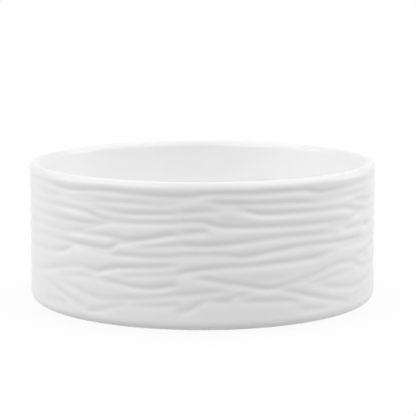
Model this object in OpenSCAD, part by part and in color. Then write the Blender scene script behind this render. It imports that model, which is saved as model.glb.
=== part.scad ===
/* [Bowl] */
// Diameter across the rim and across the crests of the wall
rim_d = 120; // [90:1:160]
// Height from the table to the crest of the rim
bowl_h = 48.9; // [35:0.1:80]
// Radius of the round between the wall and the underside
corner_r = 3.1; // [2:0.1:6]

/* [Walls] */
// Thickness of the wall and the rim
rim_t = 4.2; // [3.4:0.1:6]
// Radius of the rim's round outward of its crest, and the rest of its thickness is rounded inward
lip_r = 2.1; // [1.4:0.1:2.6]
// Thickness of the floor
floor_t = 4; // [3:0.1:8]
// Radius of the round between the inside wall and the floor
floor_round = 12; // [4:0.5:18]

/* [Foot] */
// Outer diameter of the foot ring
foot_d = 98; // [60:1:106]
// Width of the foot ring
foot_w = 4; // [2:0.1:8]
// Height of the foot ring below the underside of the wall
foot_h = 1.1; // [0.8:0.1:3]
// Height of the base inside the foot ring above the table
base_h = 1.6; // [0.8:0.1:3]
// Rounding of the foot ring's edges
foot_edge = 0.4; // [0.2:0.05:0.7]

/* [Glaze] */
// Thickness of the glaze
glaze_t = 0.3; // [0.15:0.05:0.4]

/* [Ripples] */
// Depth of the deepest ripple in the outer wall
ripple_depth = 0.65; // [0.1:0.05:0.7]
// Height from the bottom of a ripple up to its steepest line
ripple_w = 0.9; // [0.6:0.05:1.4]
// Height over which the ripples die out below the rim and above the bottom edge
ripple_fade = 1; // [0.5:0.1:3]

/* [Hidden] */
$fn = 96;

porcelain_white = [0.93, 0.92, 0.90];
glaze_white = [0.95, 0.95, 0.95];

// Profile of the glazed bowl: x is the radius and y the height above the table
rim_r = rim_d / 2;
lip_mid = [rim_r - lip_r, bowl_h - lip_r];
inner_lip_r = rim_t - lip_r;
inner_lip_mid = [lip_mid.x, bowl_h - inner_lip_r];
inside_r = rim_r - rim_t;
corner_mid = [rim_r - corner_r, foot_h + corner_r];
floor_z = base_h + floor_t;
round_mid = [inside_r - floor_round, floor_z + floor_round];
foot_r = foot_d / 2;
foot_in = foot_r - foot_w;

// The body under the outer glaze is plain, so the glaze is thickest on the crests between ripples
coat_t = glaze_t + ripple_depth;
body_wall_r = rim_r - coat_t;
body_corner_r = corner_r - coat_t;
body_corner_mid = [corner_mid.x, foot_h + glaze_t + body_corner_r];

// Angle below level at which the body's rounded rim runs into its wall
body_lip_end = -acos((body_wall_r - lip_mid.x) / (lip_r - glaze_t));

// Facets of the rippled glaze: columns round the bowl, and rows up the wall and round its edges
columns = 72;
row_pitch = 0.85;
wall_rows = ceil((lip_mid.y - corner_mid.y) / row_pitch);
arc_steps = 4;

// The ripples are drawn by hand on the front half of the wall, unrolled, and the back half repeats them.
// Each point is an angle from the front, a height on a wall as tall as drawn_h, and a depth in tenths of
// ripple_depth. The points follow the upper flank of a ripple, where it is steepest.
drawn_h = 48;
RIPPLES = [
  [[-98, 45.2, 0], [-88, 45.3, 4], [-70, 45.4, 2], [-60, 45.3, 2], [-55, 44.9, 4], [-52, 44.4, 7],
   [-49, 44.1, 9], [-45, 44.1, 9], [-40, 44.5, 9], [-35, 45.0, 8], [-28, 45.0, 8], [-20, 44.6, 8],
   [-14, 44.3, 10], [-8, 44.1, 10], [-4, 44.3, 10], [-1, 44.8, 8], [2, 45.2, 7], [6, 45.3, 7],
   [18, 45.0, 8], [26, 45.1, 8], [31, 45.2, 7], [34, 45.0, 8], [37, 44.2, 10], [40, 43.8, 10],
   [45, 43.9, 9], [50, 44.3, 7], [55, 44.7, 5], [61, 44.8, 4], [70, 44.7, 4], [78, 44.5, 6],
   [88, 44.5, 7], [98, 44.8, 0]],
  [[-57, 42.9, 0], [-52, 42.7, 3], [-46, 42.5, 4], [-40, 42.8, 5], [-35, 43.2, 3], [-30, 43.4, 0]],
  [[-24, 43.2, 0], [-19, 43.0, 3], [-14, 42.7, 4], [-8, 42.5, 4], [-4, 42.7, 2], [-1, 43.2, 0]],
  [[33, 43.1, 0], [37, 42.6, 4], [41, 42.3, 5], [46, 42.3, 5], [51, 42.6, 3], [56, 42.9, 0]],
  [[-70, 42.2, 0], [-66, 42.0, 2], [-62, 41.7, 3], [-58, 41.6, 3], [-54, 41.5, 3], [-50, 41.4, 2],
   [-47, 41.3, 3], [-45, 41.2, 4], [-42, 41.0, 4], [-40, 41.0, 4], [-37, 41.5, 5], [-32, 41.8, 7],
   [-24, 41.8, 7], [-14, 41.6, 6], [-10, 41.6, 4], [-7, 41.7, 0]],
  [[0, 42.6, 0], [3, 42.4, 7], [5, 42.2, 10], [8, 42.0, 10], [11, 41.9, 10], [14, 41.8, 8],
   [18, 41.7, 7], [22, 41.6, 8], [26, 41.5, 8], [32, 41.3, 9], [35, 41.2, 8], [38, 41.0, 5],
   [41, 40.9, 4], [45, 40.7, 3], [48, 40.5, 0]],
  [[44, 40.9, 0], [48, 41.1, 4], [54, 41.6, 4], [60, 41.9, 3], [66, 42.2, 2], [74, 42.6, 0]],
  [[-98, 39.0, 0], [-88, 38.9, 6], [-80, 38.8, 3], [-72, 38.6, 2], [-62, 38.4, 3], [-50, 38.4, 4],
   [-44, 38.2, 6], [-40, 37.8, 7], [-37, 37.2, 8], [-34, 36.4, 8], [-31, 35.8, 7], [-28, 35.5, 7],
   [-22, 35.4, 7], [-14, 35.7, 8], [-9, 35.9, 8], [-7, 36.0, 6], [-5, 36.2, 8], [-3, 36.4, 8],
   [-1, 36.5, 8], [1, 36.0, 9], [3, 35.2, 10], [5, 34.7, 10], [8, 34.5, 10], [14, 34.3, 9],
   [20, 34.2, 8], [28, 34.0, 8], [38, 33.8, 8], [46, 33.6, 6], [51, 33.4, 5], [54, 33.2, 4],
   [56, 33.1, 0]],
  [[-38, 40.0, 0], [-34, 39.4, 5], [-30, 38.9, 7], [-26, 38.3, 9], [-22, 38.3, 10],
   [-16, 38.5, 10], [-11, 38.7, 9], [-9, 38.9, 7], [-7.5, 39.0, 4], [-6, 39.3, 9], [-4, 39.4, 10],
   [-1, 39.6, 9], [2, 39.8, 8], [5, 40.0, 3], [7, 40.1, 0]],
  [[3, 40.9, 0], [6, 40.7, 2], [9, 40.4, 2], [12, 40.0, 2], [15, 39.4, 0]],
  [[4, 36.3, 0], [6, 36.4, 3], [10, 36.4, 3], [14, 36.2, 0]],
  [[8, 40.3, 0], [11, 40.1, 4], [13, 39.7, 9], [15, 39.0, 10], [18, 38.4, 10], [22, 38.2, 10],
   [30, 38.1, 9], [40, 37.9, 6], [47, 37.7, 5], [51, 37.4, 5], [54, 37.0, 6], [57, 36.2, 7],
   [60, 35.8, 8], [63, 35.4, 6], [66, 35.0, 4], [72, 34.9, 3], [80, 35.0, 5], [88, 34.9, 6],
   [98, 34.6, 0]],
  [[53, 34.0, 0], [56, 34.2, 4], [59, 34.6, 6], [62, 34.6, 4], [65, 34.4, 0]],
  [[55, 39.7, 0], [58, 39.4, 3], [61, 38.9, 4], [64, 38.5, 5], [67, 38.1, 6], [70, 38.1, 4],
   [74, 38.4, 4], [80, 38.7, 5], [88, 38.9, 6], [98, 39.0, 0]],
  [[-98, 34.6, 0], [-88, 34.5, 7], [-80, 34.5, 4], [-70, 34.5, 2], [-60, 34.4, 3], [-50, 34.1, 6],
   [-44, 33.9, 8], [-40, 33.7, 10], [-37, 33.9, 9], [-34, 34.4, 6], [-31, 34.9, 3], [-29, 35.1, 0]],
  [[-58, 32.6, 0], [-53, 32.5, 2], [-46, 32.4, 4], [-42, 32.6, 3], [-39, 33.0, 0]],
  [[-98, 29.6, 0], [-88, 29.8, 6], [-80, 30.1, 3], [-72, 30.6, 2], [-64, 31.0, 2], [-56, 30.7, 2],
   [-50, 30.4, 3], [-46, 30.7, 4], [-43, 31.3, 6], [-40, 32.0, 7], [-37, 32.9, 7], [-34, 33.8, 6],
   [-31, 34.6, 3], [-29, 35.0, 0]],
  [[-48, 30.2, 0], [-45, 30.3, 4], [-42, 30.4, 6], [-38, 30.6, 6], [-35, 30.6, 8], [-31, 30.6, 8],
   [-28, 30.3, 9], [-26, 29.8, 9], [-24, 29.4, 5], [-22, 29.2, 0]],
  [[-29, 28.8, 0], [-26.5, 29.0, 7], [-24, 29.3, 10], [-21, 29.7, 10], [-18, 30.2, 10],
   [-14, 31.0, 10], [-10.5, 31.8, 10], [-8.5, 32.1, 8], [-7, 32.3, 0]],
  [[-7.5, 32.4, 0], [-6, 32.6, 7], [-4, 32.8, 10], [-1, 33.0, 9], [1, 33.1, 7], [3, 33.3, 0]],
  [[40, 32.0, 0], [44, 32.0, 4], [49, 31.9, 4], [53, 31.9, 2], [56, 32.0, 0]],
  [[49, 30.4, 0], [52, 30.4, 5], [57, 30.5, 5], [61, 30.5, 4], [64, 30.2, 6], [66, 29.8, 9],
   [68, 29.8, 7], [71, 30.1, 3], [76, 30.3, 3], [82, 30.1, 4], [88, 30.0, 5], [98, 29.7, 0]],
  [[-98, 25.0, 0], [-88, 25.1, 5], [-80, 25.3, 3], [-72, 26.0, 2], [-66, 26.7, 2], [-60, 27.4, 3],
   [-55, 27.5, 3], [-50, 27.2, 4], [-46, 26.8, 8], [-40, 26.6, 10], [-35, 26.4, 10],
   [-31.5, 26.2, 10], [-29.5, 26.7, 9], [-28, 27.7, 8], [-26.5, 28.8, 6], [-25, 29.6, 0]],
  [[-24, 27.6, 0], [-20, 27.7, 4], [-15, 28.0, 5], [-11, 28.3, 7], [-8.5, 28.6, 7], [-7, 28.8, 5],
   [-5.5, 28.9, 9], [-2, 28.7, 9], [1, 28.5, 10], [4, 28.7, 10], [8, 29.0, 9], [12, 29.4, 9],
   [16, 29.9, 7], [20, 30.2, 7], [25, 30.5, 7], [33, 30.4, 8], [40, 30.3, 7], [45, 30.1, 5],
   [48, 30.0, 0]],
  [[-46, 25.3, 0], [-42, 25.4, 3], [-36, 25.2, 4], [-31, 24.8, 4], [-28, 24.6, 6], [-24, 24.6, 8],
   [-16, 24.6, 7], [-11, 24.8, 7], [-8, 25.1, 6], [-6, 25.5, 6], [-3, 25.6, 7], [4, 25.7, 7],
   [7, 25.4, 8], [10, 25.0, 9], [13, 24.7, 9], [16, 25.1, 9], [20, 25.8, 9], [25, 26.4, 9],
   [30, 26.9, 7], [34, 27.1, 7], [39, 27.0, 7], [45, 26.6, 8], [50, 26.4, 9], [56, 26.3, 8],
   [60, 26.3, 7], [62, 26.3, 3], [64, 25.4, 2], [70, 25.1, 2], [80, 25.2, 4], [88, 25.1, 5],
   [98, 25.0, 0]],
  [[-98, 22.2, 0], [-88, 21.9, 6], [-80, 21.8, 3], [-70, 22.1, 2], [-62, 22.4, 3], [-56, 22.6, 4],
   [-52, 23.1, 6], [-49, 23.8, 7], [-47, 24.6, 6], [-45.5, 25.5, 4], [-44, 26.3, 0]],
  [[-90, 13.0, 0], [-78, 13.7, 2], [-70, 14.4, 2], [-65, 15.0, 3], [-60, 16.0, 4], [-55, 17.1, 5],
   [-50, 18.1, 5], [-46, 19.0, 5], [-42, 19.6, 5], [-39, 19.3, 5], [-37, 18.7, 6], [-35, 18.5, 8],
   [-33, 18.8, 9], [-31, 19.6, 9], [-28, 20.2, 10], [-22, 20.8, 9], [-16, 21.3, 8], [-11, 21.8, 8],
   [-9, 22.0, 6], [-7, 22.3, 0]],
  [[-29, 18.0, 0], [-25, 18.1, 4], [-20, 18.4, 5], [-14, 18.9, 5], [-10, 19.2, 4], [-8, 19.4, 0]],
  [[-9.5, 19.0, 0], [-8, 19.4, 6], [-6, 19.9, 9], [-3, 20.5, 9], [0, 20.9, 9], [5, 21.4, 9],
   [10, 21.7, 8], [14, 21.8, 7], [18, 21.9, 8], [26, 22.2, 8], [33, 22.4, 8], [37, 22.5, 8],
   [40, 22.9, 7], [43, 23.6, 5], [45.5, 24.3, 3], [47.5, 25.0, 0]],
  [[-53, 15.0, 0], [-49, 15.4, 3], [-45, 15.9, 4], [-41, 16.4, 5], [-38, 16.5, 4], [-35, 16.4, 0]],
  [[-36, 16.3, 0], [-33, 16.0, 4], [-30, 15.7, 8], [-26, 15.2, 7], [-22, 14.6, 8], [-18, 14.3, 8],
   [-14, 14.6, 9], [-11, 15.2, 9], [-9, 15.7, 8], [-7.5, 16.1, 0]],
  [[-4, 18.4, 0], [-2, 18.1, 3], [0, 17.9, 7], [3, 17.4, 8], [7, 16.5, 8], [11, 15.8, 8],
   [14, 15.3, 9], [17, 14.5, 10], [20, 14.0, 9], [23, 14.0, 8], [26, 14.6, 5], [30, 15.4, 5],
   [35, 16.4, 6], [40, 17.6, 6], [44, 18.7, 5], [48, 19.3, 5], [52, 19.2, 5], [55, 18.9, 5],
   [58, 18.5, 4], [61, 18.2, 0]],
  [[11, 17.8, 0], [15, 17.5, 2], [19, 17.3, 3], [24, 17.4, 2], [28, 17.8, 0]],
  [[33, 14.0, 0], [37, 14.3, 4], [41, 14.7, 4], [45, 15.4, 4], [49, 15.8, 4], [54, 16.2, 3],
   [57, 16.4, 0]],
  [[42, 25.0, 0], [46, 24.9, 3], [51, 24.8, 4], [57, 24.7, 4], [62, 24.6, 2], [66, 24.4, 0]],
  [[57, 19.6, 0], [60, 20.0, 3], [63, 20.5, 4], [67, 21.2, 4], [71, 21.7, 4], [76, 22.1, 4],
   [82, 22.2, 5], [88, 22.2, 6], [98, 22.0, 0]],
  [[62.5, 19.2, 0], [65, 19.3, 4], [67, 19.4, 4], [69, 19.5, 0]],
  [[55, 18.4, 0], [58, 17.4, 3], [60, 16.7, 4], [63, 16.2, 5], [67, 15.8, 4], [72, 15.5, 4],
   [78, 15.4, 5], [88, 15.2, 6], [98, 14.4, 0]],
  [[-51, 13.0, 0], [-48, 12.6, 3], [-44, 12.0, 4], [-40, 11.0, 4], [-37, 10.2, 5], [-34, 9.7, 5],
   [-30, 9.9, 5], [-25, 10.4, 5], [-20, 11.0, 5], [-14, 11.7, 5], [-9, 12.4, 6], [-4, 13.0, 6],
   [1, 13.4, 7], [4, 13.7, 6], [7, 14.2, 3], [9, 14.6, 0]],
  [[-68, 12.5, 0], [-64, 12.3, 2], [-60, 11.8, 2], [-55, 10.7, 3], [-51, 9.5, 4], [-47, 8.2, 4],
   [-44, 7.3, 4], [-41.5, 6.7, 5], [-39, 6.3, 0]],
  [[24.5, 13.0, 0], [27, 12.6, 6], [29, 12.2, 7], [32, 11.3, 8], [35, 10.4, 7], [39, 9.3, 6],
   [43, 8.2, 5], [47, 7.1, 5], [51, 6.4, 4], [55, 5.9, 0]],
  [[37, 13.0, 0], [41, 12.7, 4], [45, 12.0, 5], [50, 11.2, 4], [54, 10.6, 4], [57, 10.2, 4],
   [60, 10.2, 4], [64, 10.7, 3], [68, 11.4, 3], [74, 12.1, 2], [82, 12.5, 4], [88, 12.7, 5],
   [98, 13.0, 0]],
  [[54, 6.2, 0], [58, 7.1, 2], [62, 8.2, 2], [66, 9.0, 0]],
  [[60, 4.7, 0], [64, 5.4, 2], [67, 5.9, 2], [70, 6.2, 0]],
  [[0, 11.0, 0], [3, 10.7, 5], [6, 10.5, 8], [8, 10.6, 7], [9.5, 10.9, 0]],
  [[7.5, 11.0, 0], [9, 11.5, 6], [11, 12.2, 6], [13, 12.7, 5], [15, 13.3, 3], [17, 13.9, 0]],
  [[10, 10.4, 0], [13, 10.2, 5], [17, 10.1, 7], [22, 9.9, 7], [26, 9.6, 7], [29, 9.3, 6],
   [32, 8.9, 0]],
  [[-23, 8.5, 0], [-19, 8.7, 5], [-15, 8.8, 5], [-11, 9.1, 5], [-8.5, 9.3, 6], [-7, 9.5, 0]],
  [[-9.5, 6.6, 0], [-8, 6.8, 4], [-6, 7.2, 7], [-4, 7.9, 8], [-2.5, 8.9, 7], [-1, 10.0, 6],
   [0.5, 11.0, 4], [2, 11.8, 0]],
  [[-41, 3.4, 0], [-39, 4.3, 4], [-37, 5.0, 5], [-34, 5.9, 5], [-30, 7.1, 5], [-27, 8.0, 5],
   [-25, 8.6, 3], [-22, 9.2, 0]],
  [[-82, 10.8, 0], [-76, 10.8, 1], [-70, 10.6, 1], [-66, 10.3, 1], [-62, 10.0, 1], [-58, 9.6, 0]],
  [[-61, 5.3, 0], [-58, 5.8, 3], [-54, 6.2, 3], [-50, 6.3, 3], [-46, 6.5, 0]],
  [[29, 6.2, 0], [32, 6.0, 3], [34.5, 5.8, 5], [38, 5.8, 4], [42, 5.8, 2], [46, 5.8, 0]]
];

// Ripples that cross one angle: the height of the bottom of each, and its share of the full depth
function crossings(angle) = [
  for (ripple = RIPPLES)
    for (a = [angle - 180, angle, angle + 180])
      if (a > ripple[0][0] && a < ripple[len(ripple) - 1][0])
        let (
          line = lookup(a, [for (p = ripple) [p[0], p[1]]]),
          depth = lookup(a, [for (p = ripple) [p[0], p[2]]])
        )
        [foot_h + (bowl_h - foot_h) * line / drawn_h - ripple_w, depth / 10]
];

// What the ripples leave of the wall's crest at one height. Ripples that overlap melt together.
function left(hits, z, i = 0) =
  i == len(hits) ? 1 : (1 - hits[i][1] * dip((z - hits[i][0]) / ripple_w)) * left(hits, z, i + 1);
function dip(u) = exp(-u * u / 2);
function fade(z) = min(1, max(0, min(lip_mid.y - z, z - corner_mid.y) / ripple_fade));
function sink(hits, z) = ripple_depth * fade(z) * (1 - left(hits, z));

// Points of an arc about a middle, from one angle to another. The next stretch gives the last point.
function arc(mid, r, from, to) = [
  for (i = [0 : arc_steps - 1])
    let (angle = from + (to - from) * i / arc_steps)
    mid + r * [cos(angle), sin(angle)]
];

// Outer face of the glaze, from the underside up to just short of the rim's crest
function glaze_face() = concat(
  arc(corner_mid, corner_r, -90, 0),
  [for (i = [0 : wall_rows - 1]) [rim_r, corner_mid.y + (lip_mid.y - corner_mid.y) * i / wall_rows]],
  arc(lip_mid, lip_r, 0, 90)
);

// Where the outer glaze meets the inner glaze, the body and the foot ring, from the crest down
function glaze_back() = concat(
  [[lip_mid.x, bowl_h]],
  arc(lip_mid, lip_r - glaze_t, 90, body_lip_end),
  [[body_wall_r, lip_mid.y + (lip_r - glaze_t) * sin(body_lip_end)]],
  arc(body_corner_mid, body_corner_r, 0, -90),
  [[body_corner_mid.x, foot_h + glaze_t], [foot_r, foot_h + glaze_t], [foot_r, foot_h]]
);

// Section of the bowl without its foot, with skin taken off the underside, the inside and the rim
module section(outside_r, corner, corner_radius, skin) {
  difference() {
    union() {
      polygon([
        [0, foot_h + skin],
        [corner.x, foot_h + skin],
        corner,
        [outside_r, corner.y],
        [outside_r, lip_mid.y],
        lip_mid,
        inner_lip_mid,
        [inside_r + skin, inner_lip_mid.y],
        [inside_r + skin, round_mid.y],
        round_mid,
        [round_mid.x, floor_z - skin],
        [0, floor_z - skin]
      ]);
      translate(corner) circle(corner_radius);
      intersection() {
        translate(lip_mid) circle(lip_r - skin);
        translate([lip_mid.x, 0]) square([rim_t, bowl_h + rim_t]);
      }
      intersection() {
        translate(inner_lip_mid) circle(inner_lip_r - skin);
        square([lip_mid.x, bowl_h + rim_t]);
      }
    }
    translate(round_mid) circle(floor_round + skin);
  }
}

module glazed_section() {
  section(rim_r, corner_mid, corner_r, 0);
}

module body_section() {
  section(body_wall_r, body_corner_mid, body_corner_r, glaze_t);
}

// Section of the foot ring, with its top inside the body
module foot_section() {
  translate([foot_in, foot_edge]) square([foot_w, base_h + glaze_t]);
  translate([foot_in + foot_edge, 0]) square([foot_w - 2 * foot_edge, base_h]);
  for (x = [foot_in + foot_edge, foot_r - foot_edge])
    translate([x, foot_edge]) circle(foot_edge);
}

// Unglazed porcelain, bare only on the foot ring
module porcelain_body() {
  color(porcelain_white)
    rotate_extrude() {
      difference() {
        body_section();
        square([foot_in, base_h + glaze_t]);
      }
      foot_section();
    }
}

// Glaze outside the bowl, from the crest of the rim to the foot ring, with the rippled wall.
// Its facets are flat, so its back is spread until they just clear the round pieces that it meets.
module outer_glaze() {
  face = glaze_face();
  back = glaze_back();
  rows = len(face) + len(back);
  spread = 1 / cos(180 / columns);
  points = [
    for (c = [0 : columns - 1])
      let (
        angle = 360 * c / columns - 180,
        out = [sin(angle), -cos(angle)],
        hits = crossings(angle)
      )
      each concat(
        [for (p = face) [each (p.x - sink(hits, p.y)) * out, p.y]],
        [for (p = back) [each p.x * spread * out, p.y]]
      )
  ];
  faces = [
    for (c = [0 : columns - 1])
      for (i = [0 : rows - 1])
        let (a = c * rows, b = (c + 1) % columns * rows, j = (i + 1) % rows)
        each [[a + i, a + j, b + j], [a + i, b + j, b + i]]
  ];
  color(glaze_white) polyhedron(points, faces);
}

// Glaze inside the bowl, from the crest of the rim over the wall and the floor
module inner_glaze() {
  color(glaze_white)
    rotate_extrude()
      difference() {
        intersection() {
          glazed_section();
          translate([0, floor_z - floor_t / 2]) square([lip_mid.x, bowl_h]);
        }
        body_section();
      }
}

// Glaze on the base inside the foot ring
module base_glaze() {
  color(glaze_white) translate([0, 0, base_h]) cylinder(h = glaze_t, r = foot_in);
}

porcelain_body();
outer_glaze();
inner_glaze();
base_glaze();
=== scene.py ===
"""Looks of a porcelain shaving bowl: its rippled glaze, its bare foot ring, the floor, the light
and the camera."""
import math

import bpy
import numpy as np
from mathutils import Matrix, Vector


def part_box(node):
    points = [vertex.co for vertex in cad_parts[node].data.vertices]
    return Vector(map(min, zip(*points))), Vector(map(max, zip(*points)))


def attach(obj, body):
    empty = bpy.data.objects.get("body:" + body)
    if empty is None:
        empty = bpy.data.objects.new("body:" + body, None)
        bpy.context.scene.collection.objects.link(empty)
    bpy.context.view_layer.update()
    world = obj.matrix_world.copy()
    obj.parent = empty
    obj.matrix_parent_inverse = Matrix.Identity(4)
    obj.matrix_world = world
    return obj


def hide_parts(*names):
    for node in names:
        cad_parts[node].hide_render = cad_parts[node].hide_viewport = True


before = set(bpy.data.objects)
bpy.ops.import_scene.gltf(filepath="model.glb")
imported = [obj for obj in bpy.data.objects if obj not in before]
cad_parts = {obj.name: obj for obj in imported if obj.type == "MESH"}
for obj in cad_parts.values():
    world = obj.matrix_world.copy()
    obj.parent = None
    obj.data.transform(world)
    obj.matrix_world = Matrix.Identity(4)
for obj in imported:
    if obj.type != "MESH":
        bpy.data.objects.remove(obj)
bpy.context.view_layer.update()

# Sizes in metres. Those that the frame shows are read from it, and the rest repeat the solids' own.
MM = 0.001
RIM_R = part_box("outer_glaze")[1][0]
BOWL_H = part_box("outer_glaze")[1][2]
FOOT_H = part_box("outer_glaze")[0][2]
BASE_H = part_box("base_glaze")[0][2]
GLAZE_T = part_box("base_glaze")[1][2] - BASE_H
FLOOR_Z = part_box("inner_glaze")[0][2] + GLAZE_T
RIM_T = 4.2 * MM
LIP_R = 2.1 * MM
CORNER_R = 3.1 * MM
FLOOR_ROUND = 12 * MM
FOOT_R = 49 * MM
FOOT_W = 4 * MM
FOOT_EDGE = 0.4 * MM
RIPPLE_DEPTH = 0.65 * MM
RIPPLE_W = 0.9 * MM
RIPPLE_FADE = 1 * MM

# Middles and radii of the profile: x is the distance from the axis, and y the height
LIP_MID = np.array([RIM_R - LIP_R, BOWL_H - LIP_R])
INNER_LIP_R = RIM_T - LIP_R
INNER_LIP_MID = np.array([LIP_MID[0], BOWL_H - INNER_LIP_R])
INSIDE_R = RIM_R - RIM_T
CORNER_MID = np.array([RIM_R - CORNER_R, FOOT_H + CORNER_R])
ROUND_MID = np.array([INSIDE_R - FLOOR_ROUND, FLOOR_Z + FLOOR_ROUND])
FOOT_IN = FOOT_R - FOOT_W
COAT_T = GLAZE_T + RIPPLE_DEPTH
BODY_WALL_R = RIM_R - COAT_T
BODY_CORNER_R = CORNER_R - COAT_T
BODY_CORNER_MID = np.array([CORNER_MID[0], FOOT_H + GLAZE_T + BODY_CORNER_R])
BODY_LIP_END = -math.degrees(math.acos((BODY_WALL_R - LIP_MID[0]) / (LIP_R - GLAZE_T)))
BOWL_MIDDLE = (0, 0, (FOOT_H + BOWL_H) / 2)

# Mesh of the revolved pieces: columns round the axis, rows up the rippled wall, and steps along the
# other stretches of the profile, fewer where the glaze hides them
COLUMNS = 432
COLUMN_ANGLES = np.arange(COLUMNS) * 360 / COLUMNS - 180
WALL_ROWS = 132
LIP_STEPS = 20
ROUND_STEPS = 14
CORNER_STEPS = 8
STRAIGHT_STEPS = 3
BASE_STEPS = 6
FOOT_EDGE_STEPS = 5
HIDDEN_STEPS = 8
HIDDEN_EDGE_STEPS = 5

# Points of a profile that are closer than this are one point
SAME_POINT = 1e-7

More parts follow.
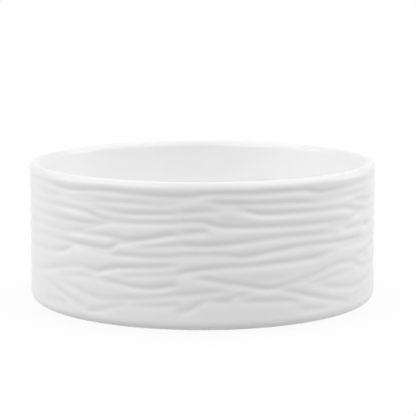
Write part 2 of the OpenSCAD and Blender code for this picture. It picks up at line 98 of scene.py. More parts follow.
# The ripples of the front half of the wall, unrolled, which the back half repeats. Each point is an
# angle from the front, a height on a wall DRAWN_H tall and a depth, of which DRAWN_DEPTH is the
# full RIPPLE_DEPTH. The points follow a ripple's upper flank, where it is steepest.
DRAWN_H = 48
DRAWN_DEPTH = 10
AT_HEIGHT, AT_DEPTH = 1, 2
HALF_TURN = 180
RIPPLES = [
  [[-98, 45.2, 0], [-88, 45.3, 4], [-70, 45.4, 2], [-60, 45.3, 2], [-55, 44.9, 4], [-52, 44.4, 7],
   [-49, 44.1, 9], [-45, 44.1, 9], [-40, 44.5, 9], [-35, 45.0, 8], [-28, 45.0, 8], [-20, 44.6, 8],
   [-14, 44.3, 10], [-8, 44.1, 10], [-4, 44.3, 10], [-1, 44.8, 8], [2, 45.2, 7], [6, 45.3, 7],
   [18, 45.0, 8], [26, 45.1, 8], [31, 45.2, 7], [34, 45.0, 8], [37, 44.2, 10], [40, 43.8, 10],
   [45, 43.9, 9], [50, 44.3, 7], [55, 44.7, 5], [61, 44.8, 4], [70, 44.7, 4], [78, 44.5, 6],
   [88, 44.5, 7], [98, 44.8, 0]],
  [[-57, 42.9, 0], [-52, 42.7, 3], [-46, 42.5, 4], [-40, 42.8, 5], [-35, 43.2, 3], [-30, 43.4, 0]],
  [[-24, 43.2, 0], [-19, 43.0, 3], [-14, 42.7, 4], [-8, 42.5, 4], [-4, 42.7, 2], [-1, 43.2, 0]],
  [[33, 43.1, 0], [37, 42.6, 4], [41, 42.3, 5], [46, 42.3, 5], [51, 42.6, 3], [56, 42.9, 0]],
  [[-70, 42.2, 0], [-66, 42.0, 2], [-62, 41.7, 3], [-58, 41.6, 3], [-54, 41.5, 3], [-50, 41.4, 2],
   [-47, 41.3, 3], [-45, 41.2, 4], [-42, 41.0, 4], [-40, 41.0, 4], [-37, 41.5, 5], [-32, 41.8, 7],
   [-24, 41.8, 7], [-14, 41.6, 6], [-10, 41.6, 4], [-7, 41.7, 0]],
  [[0, 42.6, 0], [3, 42.4, 7], [5, 42.2, 10], [8, 42.0, 10], [11, 41.9, 10], [14, 41.8, 8],
   [18, 41.7, 7], [22, 41.6, 8], [26, 41.5, 8], [32, 41.3, 9], [35, 41.2, 8], [38, 41.0, 5],
   [41, 40.9, 4], [45, 40.7, 3], [48, 40.5, 0]],
  [[44, 40.9, 0], [48, 41.1, 4], [54, 41.6, 4], [60, 41.9, 3], [66, 42.2, 2], [74, 42.6, 0]],
  [[-98, 39.0, 0], [-88, 38.9, 6], [-80, 38.8, 3], [-72, 38.6, 2], [-62, 38.4, 3], [-50, 38.4, 4],
   [-44, 38.2, 6], [-40, 37.8, 7], [-37, 37.2, 8], [-34, 36.4, 8], [-31, 35.8, 7], [-28, 35.5, 7],
   [-22, 35.4, 7], [-14, 35.7, 8], [-9, 35.9, 8], [-7, 36.0, 6], [-5, 36.2, 8], [-3, 36.4, 8],
   [-1, 36.5, 8], [1, 36.0, 9], [3, 35.2, 10], [5, 34.7, 10], [8, 34.5, 10], [14, 34.3, 9],
   [20, 34.2, 8], [28, 34.0, 8], [38, 33.8, 8], [46, 33.6, 6], [51, 33.4, 5], [54, 33.2, 4],
   [56, 33.1, 0]],
  [[-38, 40.0, 0], [-34, 39.4, 5], [-30, 38.9, 7], [-26, 38.3, 9], [-22, 38.3, 10],
   [-16, 38.5, 10], [-11, 38.7, 9], [-9, 38.9, 7], [-7.5, 39.0, 4], [-6, 39.3, 9], [-4, 39.4, 10],
   [-1, 39.6, 9], [2, 39.8, 8], [5, 40.0, 3], [7, 40.1, 0]],
  [[3, 40.9, 0], [6, 40.7, 2], [9, 40.4, 2], [12, 40.0, 2], [15, 39.4, 0]],
  [[4, 36.3, 0], [6, 36.4, 3], [10, 36.4, 3], [14, 36.2, 0]],
  [[8, 40.3, 0], [11, 40.1, 4], [13, 39.7, 9], [15, 39.0, 10], [18, 38.4, 10], [22, 38.2, 10],
   [30, 38.1, 9], [40, 37.9, 6], [47, 37.7, 5], [51, 37.4, 5], [54, 37.0, 6], [57, 36.2, 7],
   [60, 35.8, 8], [63, 35.4, 6], [66, 35.0, 4], [72, 34.9, 3], [80, 35.0, 5], [88, 34.9, 6],
   [98, 34.6, 0]],
  [[53, 34.0, 0], [56, 34.2, 4], [59, 34.6, 6], [62, 34.6, 4], [65, 34.4, 0]],
  [[55, 39.7, 0], [58, 39.4, 3], [61, 38.9, 4], [64, 38.5, 5], [67, 38.1, 6], [70, 38.1, 4],
   [74, 38.4, 4], [80, 38.7, 5], [88, 38.9, 6], [98, 39.0, 0]],
  [[-98, 34.6, 0], [-88, 34.5, 7], [-80, 34.5, 4], [-70, 34.5, 2], [-60, 34.4, 3], [-50, 34.1, 6],
   [-44, 33.9, 8], [-40, 33.7, 10], [-37, 33.9, 9], [-34, 34.4, 6], [-31, 34.9, 3], [-29, 35.1, 0]],
  [[-58, 32.6, 0], [-53, 32.5, 2], [-46, 32.4, 4], [-42, 32.6, 3], [-39, 33.0, 0]],
  [[-98, 29.6, 0], [-88, 29.8, 6], [-80, 30.1, 3], [-72, 30.6, 2], [-64, 31.0, 2], [-56, 30.7, 2],
   [-50, 30.4, 3], [-46, 30.7, 4], [-43, 31.3, 6], [-40, 32.0, 7], [-37, 32.9, 7], [-34, 33.8, 6],
   [-31, 34.6, 3], [-29, 35.0, 0]],
  [[-48, 30.2, 0], [-45, 30.3, 4], [-42, 30.4, 6], [-38, 30.6, 6], [-35, 30.6, 8], [-31, 30.6, 8],
   [-28, 30.3, 9], [-26, 29.8, 9], [-24, 29.4, 5], [-22, 29.2, 0]],
  [[-29, 28.8, 0], [-26.5, 29.0, 7], [-24, 29.3, 10], [-21, 29.7, 10], [-18, 30.2, 10],
   [-14, 31.0, 10], [-10.5, 31.8, 10], [-8.5, 32.1, 8], [-7, 32.3, 0]],
  [[-7.5, 32.4, 0], [-6, 32.6, 7], [-4, 32.8, 10], [-1, 33.0, 9], [1, 33.1, 7], [3, 33.3, 0]],
  [[40, 32.0, 0], [44, 32.0, 4], [49, 31.9, 4], [53, 31.9, 2], [56, 32.0, 0]],
  [[49, 30.4, 0], [52, 30.4, 5], [57, 30.5, 5], [61, 30.5, 4], [64, 30.2, 6], [66, 29.8, 9],
   [68, 29.8, 7], [71, 30.1, 3], [76, 30.3, 3], [82, 30.1, 4], [88, 30.0, 5], [98, 29.7, 0]],
  [[-98, 25.0, 0], [-88, 25.1, 5], [-80, 25.3, 3], [-72, 26.0, 2], [-66, 26.7, 2], [-60, 27.4, 3],
   [-55, 27.5, 3], [-50, 27.2, 4], [-46, 26.8, 8], [-40, 26.6, 10], [-35, 26.4, 10],
   [-31.5, 26.2, 10], [-29.5, 26.7, 9], [-28, 27.7, 8], [-26.5, 28.8, 6], [-25, 29.6, 0]],
  [[-24, 27.6, 0], [-20, 27.7, 4], [-15, 28.0, 5], [-11, 28.3, 7], [-8.5, 28.6, 7], [-7, 28.8, 5],
   [-5.5, 28.9, 9], [-2, 28.7, 9], [1, 28.5, 10], [4, 28.7, 10], [8, 29.0, 9], [12, 29.4, 9],
   [16, 29.9, 7], [20, 30.2, 7], [25, 30.5, 7], [33, 30.4, 8], [40, 30.3, 7], [45, 30.1, 5],
   [48, 30.0, 0]],
  [[-46, 25.3, 0], [-42, 25.4, 3], [-36, 25.2, 4], [-31, 24.8, 4], [-28, 24.6, 6], [-24, 24.6, 8],
   [-16, 24.6, 7], [-11, 24.8, 7], [-8, 25.1, 6], [-6, 25.5, 6], [-3, 25.6, 7], [4, 25.7, 7],
   [7, 25.4, 8], [10, 25.0, 9], [13, 24.7, 9], [16, 25.1, 9], [20, 25.8, 9], [25, 26.4, 9],
   [30, 26.9, 7], [34, 27.1, 7], [39, 27.0, 7], [45, 26.6, 8], [50, 26.4, 9], [56, 26.3, 8],
   [60, 26.3, 7], [62, 26.3, 3], [64, 25.4, 2], [70, 25.1, 2], [80, 25.2, 4], [88, 25.1, 5],
   [98, 25.0, 0]],
  [[-98, 22.2, 0], [-88, 21.9, 6], [-80, 21.8, 3], [-70, 22.1, 2], [-62, 22.4, 3], [-56, 22.6, 4],
   [-52, 23.1, 6], [-49, 23.8, 7], [-47, 24.6, 6], [-45.5, 25.5, 4], [-44, 26.3, 0]],
  [[-90, 13.0, 0], [-78, 13.7, 2], [-70, 14.4, 2], [-65, 15.0, 3], [-60, 16.0, 4], [-55, 17.1, 5],
   [-50, 18.1, 5], [-46, 19.0, 5], [-42, 19.6, 5], [-39, 19.3, 5], [-37, 18.7, 6], [-35, 18.5, 8],
   [-33, 18.8, 9], [-31, 19.6, 9], [-28, 20.2, 10], [-22, 20.8, 9], [-16, 21.3, 8], [-11, 21.8, 8],
   [-9, 22.0, 6], [-7, 22.3, 0]],
  [[-29, 18.0, 0], [-25, 18.1, 4], [-20, 18.4, 5], [-14, 18.9, 5], [-10, 19.2, 4], [-8, 19.4, 0]],
  [[-9.5, 19.0, 0], [-8, 19.4, 6], [-6, 19.9, 9], [-3, 20.5, 9], [0, 20.9, 9], [5, 21.4, 9],
   [10, 21.7, 8], [14, 21.8, 7], [18, 21.9, 8], [26, 22.2, 8], [33, 22.4, 8], [37, 22.5, 8],
   [40, 22.9, 7], [43, 23.6, 5], [45.5, 24.3, 3], [47.5, 25.0, 0]],
  [[-53, 15.0, 0], [-49, 15.4, 3], [-45, 15.9, 4], [-41, 16.4, 5], [-38, 16.5, 4], [-35, 16.4, 0]],
  [[-36, 16.3, 0], [-33, 16.0, 4], [-30, 15.7, 8], [-26, 15.2, 7], [-22, 14.6, 8], [-18, 14.3, 8],
   [-14, 14.6, 9], [-11, 15.2, 9], [-9, 15.7, 8], [-7.5, 16.1, 0]],
  [[-4, 18.4, 0], [-2, 18.1, 3], [0, 17.9, 7], [3, 17.4, 8], [7, 16.5, 8], [11, 15.8, 8],
   [14, 15.3, 9], [17, 14.5, 10], [20, 14.0, 9], [23, 14.0, 8], [26, 14.6, 5], [30, 15.4, 5],
   [35, 16.4, 6], [40, 17.6, 6], [44, 18.7, 5], [48, 19.3, 5], [52, 19.2, 5], [55, 18.9, 5],
   [58, 18.5, 4], [61, 18.2, 0]],
  [[11, 17.8, 0], [15, 17.5, 2], [19, 17.3, 3], [24, 17.4, 2], [28, 17.8, 0]],
  [[33, 14.0, 0], [37, 14.3, 4], [41, 14.7, 4], [45, 15.4, 4], [49, 15.8, 4], [54, 16.2, 3],
   [57, 16.4, 0]],
  [[42, 25.0, 0], [46, 24.9, 3], [51, 24.8, 4], [57, 24.7, 4], [62, 24.6, 2], [66, 24.4, 0]],
  [[57, 19.6, 0], [60, 20.0, 3], [63, 20.5, 4], [67, 21.2, 4], [71, 21.7, 4], [76, 22.1, 4],
   [82, 22.2, 5], [88, 22.2, 6], [98, 22.0, 0]],
  [[62.5, 19.2, 0], [65, 19.3, 4], [67, 19.4, 4], [69, 19.5, 0]],
  [[55, 18.4, 0], [58, 17.4, 3], [60, 16.7, 4], [63, 16.2, 5], [67, 15.8, 4], [72, 15.5, 4],
   [78, 15.4, 5], [88, 15.2, 6], [98, 14.4, 0]],
  [[-51, 13.0, 0], [-48, 12.6, 3], [-44, 12.0, 4], [-40, 11.0, 4], [-37, 10.2, 5], [-34, 9.7, 5],
   [-30, 9.9, 5], [-25, 10.4, 5], [-20, 11.0, 5], [-14, 11.7, 5], [-9, 12.4, 6], [-4, 13.0, 6],
   [1, 13.4, 7], [4, 13.7, 6], [7, 14.2, 3], [9, 14.6, 0]],
  [[-68, 12.5, 0], [-64, 12.3, 2], [-60, 11.8, 2], [-55, 10.7, 3], [-51, 9.5, 4], [-47, 8.2, 4],
   [-44, 7.3, 4], [-41.5, 6.7, 5], [-39, 6.3, 0]],
  [[24.5, 13.0, 0], [27, 12.6, 6], [29, 12.2, 7], [32, 11.3, 8], [35, 10.4, 7], [39, 9.3, 6],
   [43, 8.2, 5], [47, 7.1, 5], [51, 6.4, 4], [55, 5.9, 0]],
  [[37, 13.0, 0], [41, 12.7, 4], [45, 12.0, 5], [50, 11.2, 4], [54, 10.6, 4], [57, 10.2, 4],
   [60, 10.2, 4], [64, 10.7, 3], [68, 11.4, 3], [74, 12.1, 2], [82, 12.5, 4], [88, 12.7, 5],
   [98, 13.0, 0]],
  [[54, 6.2, 0], [58, 7.1, 2], [62, 8.2, 2], [66, 9.0, 0]],
  [[60, 4.7, 0], [64, 5.4, 2], [67, 5.9, 2], [70, 6.2, 0]],
  [[0, 11.0, 0], [3, 10.7, 5], [6, 10.5, 8], [8, 10.6, 7], [9.5, 10.9, 0]],
  [[7.5, 11.0, 0], [9, 11.5, 6], [11, 12.2, 6], [13, 12.7, 5], [15, 13.3, 3], [17, 13.9, 0]],
  [[10, 10.4, 0], [13, 10.2, 5], [17, 10.1, 7], [22, 9.9, 7], [26, 9.6, 7], [29, 9.3, 6],
   [32, 8.9, 0]],
  [[-23, 8.5, 0], [-19, 8.7, 5], [-15, 8.8, 5], [-11, 9.1, 5], [-8.5, 9.3, 6], [-7, 9.5, 0]],
  [[-9.5, 6.6, 0], [-8, 6.8, 4], [-6, 7.2, 7], [-4, 7.9, 8], [-2.5, 8.9, 7], [-1, 10.0, 6],
   [0.5, 11.0, 4], [2, 11.8, 0]],
  [[-41, 3.4, 0], [-39, 4.3, 4], [-37, 5.0, 5], [-34, 5.9, 5], [-30, 7.1, 5], [-27, 8.0, 5],
   [-25, 8.6, 3], [-22, 9.2, 0]],
  [[-82, 10.8, 0], [-76, 10.8, 1], [-70, 10.6, 1], [-66, 10.3, 1], [-62, 10.0, 1], [-58, 9.6, 0]],
  [[-61, 5.3, 0], [-58, 5.8, 3], [-54, 6.2, 3], [-50, 6.3, 3], [-46, 6.5, 0]],
  [[29, 6.2, 0], [32, 6.0, 3], [34.5, 5.8, 5], [38, 5.8, 4], [42, 5.8, 2], [46, 5.8, 0]]
]

# Angles in degrees: over which the drawn ripples are smoothed into curves, how far the smoothing
# reaches, and the step that they are sampled at
RIPPLE_SMOOTH = 0.7
RIPPLE_REACH = 3 * RIPPLE_SMOOTH
RIPPLE_STEP = 0.25


def smoothed(angles, ripple, place):
    """One of a ripple's drawn numbers at some angles, with the corners of its line rounded off."""
    points = np.array(ripple, float)
    kernel_at = np.arange(-RIPPLE_REACH, RIPPLE_REACH + RIPPLE_STEP / 2, RIPPLE_STEP)
    kernel = np.exp(-((kernel_at / RIPPLE_SMOOTH) ** 2) / 2)
    offsets = angles[:, None] + kernel_at[None, :]
    values = np.interp(offsets, points[:, 0], points[:, place])
    return values @ kernel / kernel.sum()


def ripple_shares(angles, heights):
    """How deep the wall lies below its crests, as a share of the full depth, for each angle and
    height. Ripples that overlap melt together."""
    left = np.ones((len(angles), len(heights)))
    for ripple in RIPPLES:
        start, end = ripple[0][0] - RIPPLE_SMOOTH, ripple[-1][0] + RIPPLE_SMOOTH
        for turn in (-HALF_TURN, 0, HALF_TURN):
            at = angles + turn
            near = np.flatnonzero((at > start) & (at < end))
            if not len(near):
                continue
            drawn = smoothed(at[near], ripple, AT_HEIGHT)
            bottom = FOOT_H + (BOWL_H - FOOT_H) * drawn / DRAWN_H - RIPPLE_W
            depth = smoothed(at[near], ripple, AT_DEPTH) / DRAWN_DEPTH
            u = (heights[None, :] - bottom[:, None]) / RIPPLE_W
            left[near] *= 1 - depth[:, None] * np.exp(-u * u / 2)
    fade = np.minimum(LIP_MID[1] - heights, heights - CORNER_MID[1]) / RIPPLE_FADE
    return (1 - left) * np.clip(fade, 0, 1)


def arc(mid, r, start, end, steps):
    """Points of an arc about a middle, from one angle in degrees to another."""
    angles = np.radians(np.linspace(start, end, steps + 1))
    return np.column_stack([mid[0] + r * np.cos(angles), mid[1] + r * np.sin(angles)])


def line(start, end, steps):
    """Points of a straight stretch, both ends included."""
    return np.linspace(start, end, steps + 1)


def joined(*stretches):
    """One profile of several stretches, without the points that two of them share."""
    points = np.vstack(stretches)
    keep = np.ones(len(points), bool)
    keep[1:] = np.linalg.norm(np.diff(points, axis=0), axis=1) > SAME_POINT
    return points[keep]


def new_object(name, data):
    """A new object in the scene, made of a mesh, a lamp or a camera."""
    item = bpy.data.objects.new(name, data)
    bpy.context.collection.objects.link(item)
    return item


def revolve(name, profile, sink=0):
    """A closed mesh of revolution. The profile starts and ends on the axis, at the mesh's two
    poles, and runs anticlockwise round the section, seen with the axis at its left. sink holds how
    far in each point between the poles lies, column by column."""
    rings = profile[1:-1]
    rows = len(rings)
    radii = np.tile(rings[:, 0], (COLUMNS, 1)) - sink
    heights = np.tile(rings[:, 1], (COLUMNS, 1))
    angles = np.radians(COLUMN_ANGLES)[:, None]
    places = [radii * np.sin(angles), -radii * np.cos(angles), heights]
    points = np.stack(places, axis=2).reshape(-1, 3)
    first, last = len(points), len(points) + 1
    points = np.vstack([points, [0, 0, profile[0][1]], [0, 0, profile[-1][1]]])
    a = np.arange(COLUMNS)[:, None] * rows
    b = (np.arange(COLUMNS)[:, None] + 1) % COLUMNS * rows
    i = np.arange(rows - 1)[None, :]
    faces = np.stack([a + i, a + i + 1, b + i + 1, b + i], axis=2).reshape(-1, 4).tolist()
    for here, there in zip(a.ravel().tolist(), b.ravel().tolist()):
        faces.append([first, here, there])
        faces.append([last, there + rows - 1, here + rows - 1])
    mesh = bpy.data.meshes.new(name)
    mesh.from_pydata(points.tolist(), [], faces)
    mesh.shade_smooth()
    return new_object(name, mesh)


# Colours, as the linear values that the shaders take
GLAZE_WHITE = (0.945, 0.945, 0.945, 1)
GLAZE_GREY = (0.925, 0.925, 0.925, 1)
# Painted shade laid into the hollows of the ripples, deeper where they are deeper
GLAZE_GROOVE_SHADE = (0.860, 0.860, 0.860, 1)
# Painted shade that darkens the top of the rim's crest
GLAZE_CREST_SHADE = (0.905, 0.905, 0.905, 1)
PORCELAIN = (0.870, 0.860, 0.840, 1)
PORCELAIN_WORN = (0.600, 0.585, 0.560, 1)
WHITE = (1, 1, 1, 1)

# Noise in the materials: features to the metre, and levels of detail
CLOUD_NOISE = (45, 3)
GLOSS_NOISE = (160, 4)
DIMPLE_NOISE = (650, 2)
SMUDGE_NOISE = (220, 5)
GRAIN_NOISE = (2600, 3)

# Parts of the noise's range that are used
NOISE_RANGE = (0.3, 0.7)
CLOUD_RANGE = (0.35, 0.65)
SMUDGE_RANGE = (0.45, 0.7)

# Glaze: the heights between which a painted shade darkens it towards the crest of the rim, its
# gloss, and its dimples
CREST_SHADE_RANGE = (BOWL_H - 1.9 * MM, BOWL_H - 0.5 * MM)
GLAZE_ROUGHNESS = (0.28, 0.32)
DIMPLE_STRENGTH = 0.25
DIMPLE_DEPTH = 0.02 * MM

# Porcelain: the heights over which the wear on the foot ring ends, the most grey that smudges and
# grain take, its roughness, and its grain
WEAR_RANGE = (0.05 * MM, 0.25 * MM)
SMUDGE_MOST = 0.7
GRAIN_MOST = 0.12
PORCELAIN_ROUGHNESS = (0.68, 0.82)
GRAIN_STRENGTH = 0.5
GRAIN_DEPTH = 0.05 * MM

CERAMIC_IOR = 1.5

# Places of the colour sockets on a Mix node
MIX_FACTOR, MIX_FIRST, MIX_SECOND, MIX_RESULT = 0, 6, 7, 2


def new_material(name):
    """A node material with nothing in it yet, and its node tree."""
    material = bpy.data.materials.new(name)
    material.use_nodes = True
    tree = material.node_tree
    tree.nodes.clear()
    return material, tree


def add(tree, kind, sockets=None, **settings):
    """Adds a node. A socket's value is a constant, or another node's output to link to it."""
    node = tree.nodes.new(kind)
    for key, value in settings.items():
        setattr(node, key, value)
    for key, value in (sockets or {}).items():
        if isinstance(value, bpy.types.NodeSocket):
            tree.links.new(value, node.inputs[key])
        else:
            node.inputs[key].default_value = value
    return node


def mixed(tree, factor, first, second):
    """A colour between two, each a constant or an output."""
    sockets = {MIX_FACTOR: factor, MIX_FIRST: first, MIX_SECOND: second}
    return add(tree, "ShaderNodeMix", sockets, data_type="RGBA").outputs[MIX_RESULT]


def ranged(tree, value, low, high, to_low, to_high):
    """A value carried from one range to another and held inside it."""
    sockets = {
        "Value": value,
        "From Min": low,
        "From Max": high,
        "To Min": to_low,
        "To Max": to_high,
    }
    return add(tree, "ShaderNodeMapRange", sockets).outputs["Result"]


def computed(tree, operation, first, second):
    """The sum or product of two values, held between 0 and 1."""
    settings = {"operation": operation, "use_clamp": True}
    return add(tree, "ShaderNodeMath", {0: first, 1: second}, **settings).outputs[0]


def noise(tree, place, scale, detail):
    """Noise with scale features to the metre, from about 0.3 to 0.7."""
    sockets = {"Vector": place, "Scale": scale, "Detail": detail}
    return add(tree, "ShaderNodeTexNoise", sockets).outputs["Fac"]


def bumped(tree, strength, depth, height):
    """The surface's direction, where a pattern of heights roughens it."""
    sockets = {"Strength": strength, "Distance": depth, "Height": height}
    return add(tree, "ShaderNodeBump", sockets).outputs["Normal"]


def object_place(tree):
    """The place on the object, and its height."""
    place = add(tree, "ShaderNodeTexCoord").outputs["Object"]
    return place, add(tree, "ShaderNodeSeparateXYZ", {"Vector": place}).outputs["Z"]


def end_in_ceramic(tree, colour, roughness, normal):
    """Gives a material its surface."""
    sockets = {
        "Base Color": colour,
        "Roughness": roughness,
        "IOR": CERAMIC_IOR,
        "Normal": normal,
    }
    shader = add(tree, "ShaderNodeBsdfPrincipled", sockets)
    add(tree, "ShaderNodeOutputMaterial", {"Surface": shader.outputs["BSDF"]})


def glaze_material():
    """White glaze with a soft gloss: a painted shade greys it in the hollows of the ripples and on
    the crest of the rim, with the faint dimples of a fired surface."""
    material, tree = new_material("white_glaze")
    place, height = object_place(tree)
    cloud = ranged(tree, noise(tree, place, *CLOUD_NOISE), *CLOUD_RANGE, 0, 1)
    cloudy = mixed(tree, cloud, GLAZE_WHITE, GLAZE_GREY)
    # Painted shade in the ripples' hollows, by how deep the wall lies there
    groove_shade = add(tree, "ShaderNodeAttribute", attribute_name="groove_shade").outputs["Fac"]
    groove_shaded = mixed(tree, groove_shade, cloudy, GLAZE_GROOVE_SHADE)
    # Painted shade towards the crest of the rim
    colour = mixed(tree, ranged(tree, height, *CREST_SHADE_RANGE, 0, 1), groove_shaded, GLAZE_CREST_SHADE)
    gloss = noise(tree, place, *GLOSS_NOISE)
    roughness = ranged(tree, gloss, *NOISE_RANGE, *GLAZE_ROUGHNESS)
    dimples = noise(tree, place, *DIMPLE_NOISE)
    normal = bumped(tree, DIMPLE_STRENGTH, DIMPLE_DEPTH, dimples)
    end_in_ceramic(tree, colour, roughness, normal)
    return material


def porcelain_material():
    """Bare fired porcelain: matt and finely grained, with grey rubbed into the face that stands on
    the table."""
    material, tree = new_material("bare_porcelain")
    place, height = object_place(tree)
    low = ranged(tree, height, *WEAR_RANGE, 1, 0)
    smudge = ranged(tree, noise(tree, place, *SMUDGE_NOISE), *SMUDGE_RANGE, 0, SMUDGE_MOST)
    grain = noise(tree, place, *GRAIN_NOISE)
    speckle = ranged(tree, grain, *NOISE_RANGE, 0, GRAIN_MOST)
    grained = mixed(tree, speckle, PORCELAIN, PORCELAIN_WORN)
    colour = mixed(tree, computed(tree, "MULTIPLY", low, smudge), grained, PORCELAIN_WORN)
    roughness = ranged(tree, grain, *NOISE_RANGE, *PORCELAIN_ROUGHNESS)
    normal = bumped(tree, GRAIN_STRENGTH, GRAIN_DEPTH, grain)
    end_in_ceramic(tree, colour, roughness, normal)
    return material


def dress(piece, material, slot, *nodes):
    """Gives a piece its material and ties it to the frame, where it stands for some solids."""
    piece.data.materials.append(material)
    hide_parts(*nodes)
    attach(piece, "root")


def body_face():
    """The porcelain's face under the glaze, from the middle of the floor over the rim to the
    underside."""
    return joined(
        [(0, FLOOR_Z - GLAZE_T)],
        arc(ROUND_MID, FLOOR_ROUND + GLAZE_T, -90, 0, HIDDEN_STEPS),
        arc(INNER_LIP_MID, INNER_LIP_R - GLAZE_T, 180, 90, HIDDEN_EDGE_STEPS),
        arc(LIP_MID, LIP_R - GLAZE_T, 90, BODY_LIP_END, HIDDEN_STEPS),
        arc(BODY_CORNER_MID, BODY_CORNER_R, 0, -90, HIDDEN_EDGE_STEPS),
    )


def make_glaze(material):
    """The glaze inside and outside in one skin, over the rim, with the ripples of the wall."""
    inside = joined(
        line((0, FLOOR_Z), (ROUND_MID[0], FLOOR_Z), STRAIGHT_STEPS),
        arc(ROUND_MID, FLOOR_ROUND, -90, 0, ROUND_STEPS),
        line((INSIDE_R, ROUND_MID[1]), (INSIDE_R, INNER_LIP_MID[1]), STRAIGHT_STEPS),
        arc(INNER_LIP_MID, INNER_LIP_R, 180, 90, LIP_STEPS),
        arc(LIP_MID, LIP_R, 90, 0, LIP_STEPS),
    )
    wall = line((RIM_R, LIP_MID[1]), (RIM_R, CORNER_MID[1]), WALL_ROWS)[1:-1]
    under = joined(
        arc(CORNER_MID, CORNER_R, 0, -90, CORNER_STEPS),
        [(FOOT_R, FOOT_H), (FOOT_R, FOOT_H + GLAZE_T)],
        body_face()[::-1],
    )
    profile = np.vstack([inside, wall, under])
    shares = np.zeros((COLUMNS, len(profile)))
    rippled = slice(len(inside), len(inside) + len(wall))
    shares[:, rippled] = ripple_shares(COLUMN_ANGLES, wall[:, 1])
    between_poles = shares[:, 1:-1]
    piece = revolve("white_glaze", profile, RIPPLE_DEPTH * between_poles)
    # The share of painted shade in the ripples' hollows, which the glaze's material reads
    groove_shade = piece.data.attributes.new("groove_shade", "FLOAT", "POINT")
    groove_shade.data.foreach_set("value", np.concatenate([between_poles.ravel(), [0, 0]]))
    dress(piece, material, "glaze", "outer_glaze", "inner_glaze")


def make_body(material):
    """The porcelain under the glaze, of which the foot ring shows."""
    profile = joined(
        body_face(),
        [(FOOT_R, FOOT_H + GLAZE_T)],
        arc((FOOT_R - FOOT_EDGE, FOOT_EDGE), FOOT_EDGE, 0, -90, FOOT_EDGE_STEPS),
        arc((FOOT_IN + FOOT_EDGE, FOOT_EDGE), FOOT_EDGE, -90, -180, FOOT_EDGE_STEPS),
        [(FOOT_IN, BASE_H + GLAZE_T), (0, BASE_H + GLAZE_T)],
    )
    dress(revolve("bare_porcelain", profile), material, "porcelain", "porcelain_body")


def make_base(material):
    """The glaze on the base inside the foot ring."""
    profile = joined(
        line((0, BASE_H + GLAZE_T), (FOOT_IN, BASE_H + GLAZE_T), BASE_STEPS),
        line((FOOT_IN, BASE_H), (0, BASE_H), BASE_STEPS),
    )
    dress(revolve("base_glaze_disc", profile), material, "glaze", "base_glaze")


def seen_directly(tree):
    """1 for what the camera sees directly, in a mirror or through glass, and 0 for light on its
    way."""
    path = add(tree, "ShaderNodeLightPath").outputs
    glossy = computed(tree, "ADD", path["Is Camera Ray"], path["Is Glossy Ray"])
    return computed(tree, "ADD", glossy, path["Is Transmission Ray"])


# The floor is white to the camera. Under the bowl a share of its own shading is left in that white,
# so that the bowl's shadow shows, and the share fades out between two distances from the axis.
FLOOR_HALF = 8.0
FLOOR_GREY = (0.62, 0.62, 0.62, 1)
FLOOR_SHADE = 0.05
FLOOR_SHADE_FROM = 0.060
FLOOR_SHADE_TO = 0.085

# Strength of the even light from all round
WORLD_LIGHT = 0.05


def make_floor():
    """A white floor that keeps a soft shadow of the bowl."""
    sides = ((-1, -1), (1, -1), (1, 1), (-1, 1))
    corners = [(x * FLOOR_HALF, y * FLOOR_HALF, 0) for x, y in sides]
    mesh = bpy.data.meshes.new("floor")
    mesh.from_pydata(corners, [], [(0, 1, 2, 3)])
    floor = new_object("floor", mesh)
    material, tree = new_material("white_floor")
    place = add(tree, "ShaderNodeTexCoord").outputs["Object"]
    length = add(tree, "ShaderNodeVectorMath", {0: place}, operation="LENGTH")
    away = length.outputs["Value"]
    share = ranged(tree, away, FLOOR_SHADE_FROM, FLOOR_SHADE_TO, 1 - FLOOR_SHADE, 1)
    seen = computed(tree, "MULTIPLY", seen_directly(tree), share)
    plain = add(tree, "ShaderNodeBsdfDiffuse", {"Color": FLOOR_GREY}).outputs[0]
    white = add(tree, "ShaderNodeEmission", {"Color": WHITE, "Strength": 1}).outputs[0]
    shader = add(tree, "ShaderNodeMixShader", {0: seen, 1: plain, 2: white})
    add(tree, "ShaderNodeOutputMaterial", {"Surface": shader.outputs[0]})
    mesh.materials.append(material)


def make_world():
    """An even faint light from all round, which shows as white behind the bowl."""
    world = bpy.data.worlds.new("studio")
    world.use_nodes = True
    tree = world.node_tree
    tree.nodes.clear()
    faint = {"Color": WHITE, "Strength": WORLD_LIGHT}
    light = add(tree, "ShaderNodeBackground", faint).outputs[0]
    white = add(tree, "ShaderNodeBackground", {"Color": WHITE, "Strength": 1}).outputs[0]
    shader = add(tree, "ShaderNodeMixShader", {0: seen_directly(tree), 1: light, 2: white})
    add(tree, "ShaderNodeOutputWorld", {"Surface": shader.outputs[0]})
    bpy.context.scene.world = world


def aim(item, eye, target):
    """Puts a lamp or camera at a point and turns it to another."""
    direction = np.array(target) - np.array(eye)
    side = math.atan2(direction[0], direction[1])
    rise = math.atan2(direction[2], math.hypot(direction[0], direction[1]))
    item.location = eye
    item.rotation_euler = (math.pi / 2 + rise, 0, -side)


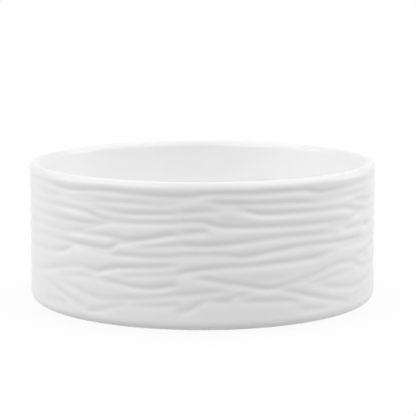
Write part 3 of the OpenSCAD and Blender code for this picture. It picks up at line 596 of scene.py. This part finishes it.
# Softboxes: name, azimuth and elevation in degrees, distance, width and height in metres, and
# radiance. Azimuth 0 is the camera's side, and positive angles are to the right.
SOFTBOXES = (
    ("left", -94, 18, 1, 0.45, 0.5, 2.5),
    ("right", 108, 18, 1, 0.45, 0.5, 2.4),
    ("front_left", -52, 38, 1.1, 1.1, 0.7, 2.05),
    ("front_right", 54, 38, 1.1, 1.1, 0.7, 1.85),
    ("front", 0, 46, 1.2, 1, 0.6, 0.45),
    ("high_left", -95, 55, 1.1, 1, 0.9, 0.65),
    ("high_right", 95, 55, 1.1, 1, 0.9, 1),
    ("back", 180, 55, 1.1, 1.2, 0.7, 0.75),
)


def softbox(name, azimuth, elevation, distance, width, height, radiance):
    """A rectangular lamp that faces the bowl."""
    lamp = bpy.data.lights.new(name, "AREA")
    lamp.shape = "RECTANGLE"
    lamp.size = width
    lamp.size_y = height
    lamp.energy = radiance * math.pi * width * height
    around, up = math.radians(azimuth), math.radians(elevation)
    out = (math.sin(around) * math.cos(up), -math.cos(around) * math.cos(up), math.sin(up))
    aim(new_object(name, lamp), [distance * v for v in out], BOWL_MIDDLE)


def make_lights():
    """Softboxes all round the bowl, the strongest at its sides and either side of the camera."""
    for box in SOFTBOXES:
        softbox(*box)


# The camera stands in front of the bowl and looks down at it a little. It aims right of the bowl's
# middle and above it, as the photograph is framed.
CAMERA_DISTANCE = 0.5963
CAMERA_ELEVATION = math.radians(9.458)
CAMERA_FIELD = math.radians(13.952)
CAMERA_NEAREST = 0.01
AIM_RIGHT = 1.92 * MM
AIM_UP = 6.67 * MM


def make_camera():
    """The camera at the photograph's viewing angle."""
    camera = bpy.data.cameras.new("camera")
    camera.sensor_fit = "HORIZONTAL"
    camera.angle = CAMERA_FIELD
    camera.clip_start = CAMERA_NEAREST
    item = new_object("camera", camera)
    sine, cosine = math.sin(CAMERA_ELEVATION), math.cos(CAMERA_ELEVATION)
    eye = (0, -CAMERA_DISTANCE * cosine, BOWL_MIDDLE[2] + CAMERA_DISTANCE * sine)
    target = (AIM_RIGHT, AIM_UP * sine, BOWL_MIDDLE[2] + AIM_UP * cosine)
    aim(item, eye, target)
    bpy.context.scene.camera = item


bpy.context.scene.view_settings.view_transform = "Standard"
glaze = glaze_material()
make_glaze(glaze)
make_body(porcelain_material())
make_base(glaze)
make_floor()
make_world()
make_lights()
make_camera()
